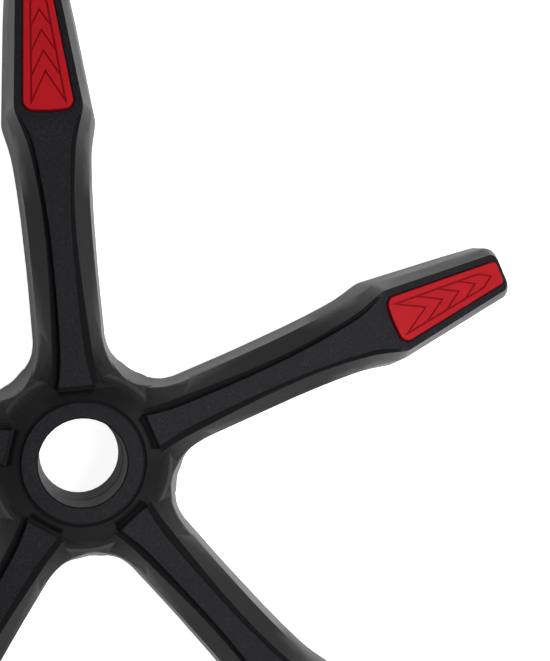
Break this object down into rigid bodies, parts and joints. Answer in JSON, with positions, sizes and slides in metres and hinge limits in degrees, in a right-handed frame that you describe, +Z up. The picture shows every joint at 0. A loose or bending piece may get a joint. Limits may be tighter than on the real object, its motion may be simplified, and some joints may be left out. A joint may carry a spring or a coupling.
{
  "type": "office chair five star base",
  "caption": "Black nylon star base for a swivel office chair, with a gas lift bore in its hub, a caster socket near the tip of each leg and red grip pads.",
  "frame": {"origin": "centre of the gas lift bore at the hub's lower face", "axes": "+Z up along the bore, +X along the first leg"},
  "size_m": [0.5501, 0.5773, 0.085],
  "materials": {
    "black_nylon": "moulded black nylon, fine grain on the ring and panels, smooth on the flanks",
    "red_pad": "satin red rubber with engraved chevrons"
  },
  "bodies": {
    "root": {"star_base": "black_nylon", "grip_pad_1": "red_pad", "grip_pad_2": "red_pad", "grip_pad_3": "red_pad", "grip_pad_4": "red_pad", "grip_pad_5": "red_pad"}
  },
  "joints": []
}
